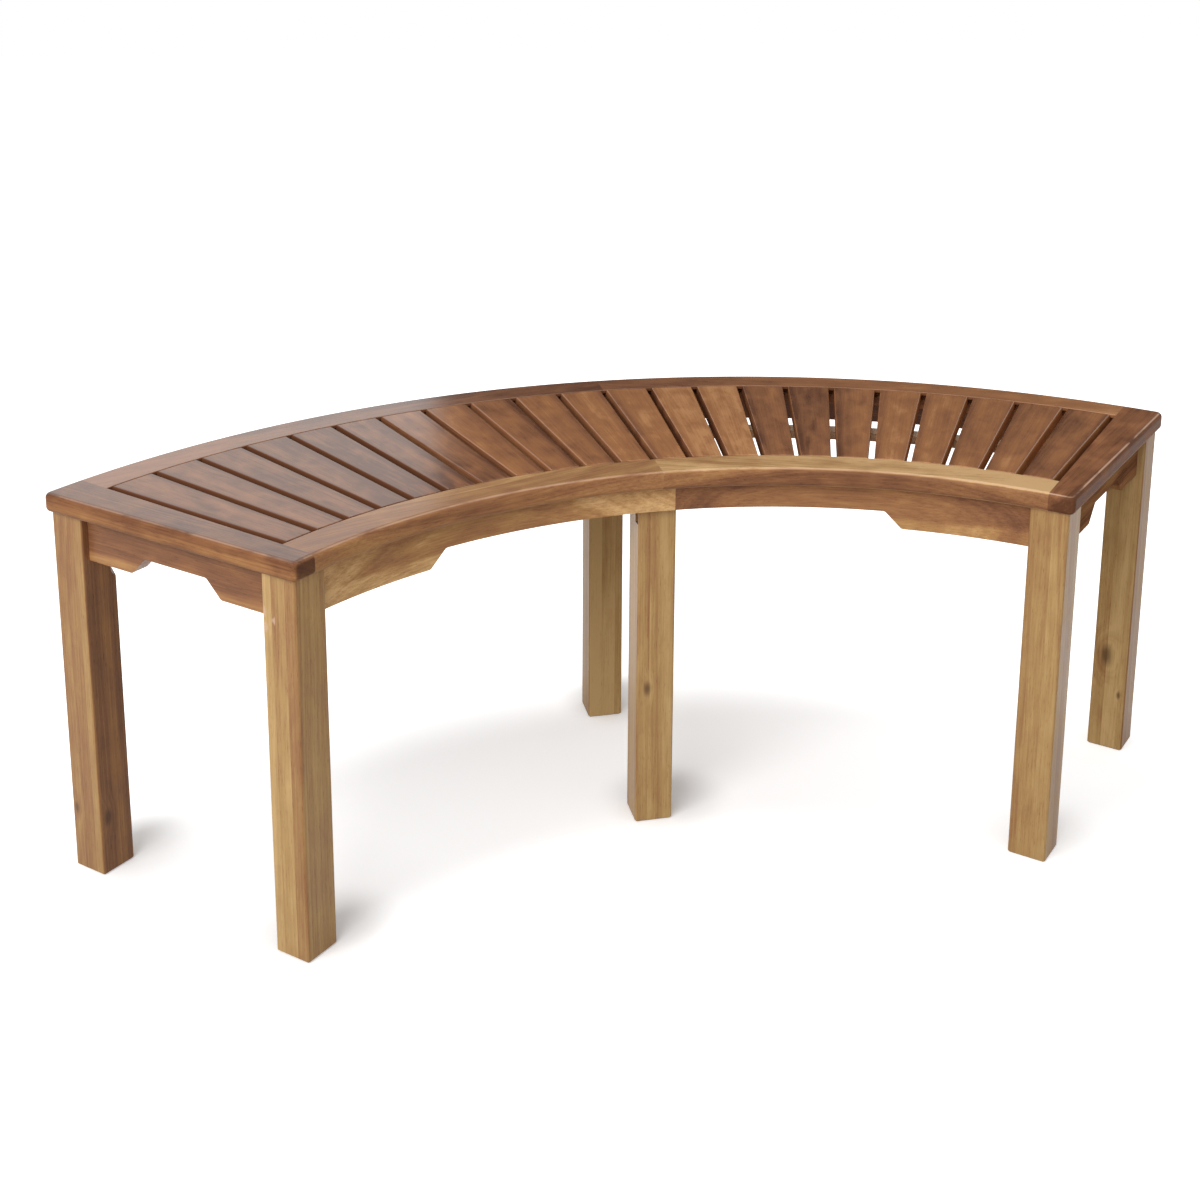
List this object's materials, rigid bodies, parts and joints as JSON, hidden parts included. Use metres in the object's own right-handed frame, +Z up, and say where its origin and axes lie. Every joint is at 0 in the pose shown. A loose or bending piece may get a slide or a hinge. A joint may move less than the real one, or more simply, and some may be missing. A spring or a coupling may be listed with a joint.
{
  "type": "curved garden bench",
  "caption": "Backless wooden garden bench whose slatted seat bends in a quarter ring, with curved rails and stepped aprons on square legs; seats people along its hollow or round side.",
  "frame": {"origin": "on the floor, under the middle of the outline seen from above", "axes": "+Z up, +X to the right along the bench, +Y from the hollow side to the round side"},
  "size_m": [1.3368, 0.5295, 0.45],
  "materials": {
    "slat_acacia": "oiled, satin",
    "rail_acacia": "oiled, satin",
    "apron_acacia": "oiled, satin",
    "leg_acacia": "oiled, satin",
    "dowel_beech": "bare, dry",
    "zinc_steel": "zinc plated"
  },
  "bodies": {
    "root": {"apron_dowels": "dowel_beech", "apron_end_left": "apron_acacia", "apron_end_right": "apron_acacia", "apron_front_left": "apron_acacia", "apron_front_right": "apron_acacia", "apron_rear_left": "apron_acacia", "apron_rear_right": "apron_acacia", "batten_left": "apron_acacia", "batten_right": "apron_acacia", "bearer_dowels": "dowel_beech", "block_screws": "zinc_steel", "bolt_nuts": "zinc_steel", "bolt_washers": "zinc_steel", "corner_block_front_left": "apron_acacia", "corner_block_front_right": "apron_acacia", "corner_block_rear_left": "apron_acacia", "corner_block_rear_right": "apron_acacia", "end_rail_left": "rail_acacia", "end_rail_right": "rail_acacia", "hanger_bolts": "zinc_steel", "inner_rail_left": "rail_acacia", "inner_rail_right": "rail_acacia", "leg_front_left": "leg_acacia", "leg_front_middle": "leg_acacia", "leg_front_right": "leg_acacia", "leg_rear_left": "leg_acacia", "leg_rear_middle": "leg_acacia", "leg_rear_right": "leg_acacia", "leg_screws": "zinc_steel", "middle_bearer": "apron_acacia", "outer_rail_left": "rail_acacia", "outer_rail_right": "rail_acacia", "rail_dowels": "dowel_beech", "seat_screws": "zinc_steel", "slat_01": "slat_acacia", "slat_02": "slat_acacia", "slat_03": "slat_acacia", "slat_04": "slat_acacia", "slat_05": "slat_acacia", "slat_06": "slat_acacia", "slat_07": "slat_acacia", "slat_08": "slat_acacia", "slat_09": "slat_acacia", "slat_10": "slat_acacia", "slat_11": "slat_acacia", "slat_12": "slat_acacia", "slat_13": "slat_acacia", "slat_14": "slat_acacia", "slat_15": "slat_acacia", "slat_16": "slat_acacia", "slat_17": "slat_acacia", "slat_18": "slat_acacia", "slat_19": "slat_acacia", "slat_20": "slat_acacia", "slat_21": "slat_acacia", "slat_22": "slat_acacia", "slat_screws": "zinc_steel"}
  },
  "joints": []
}
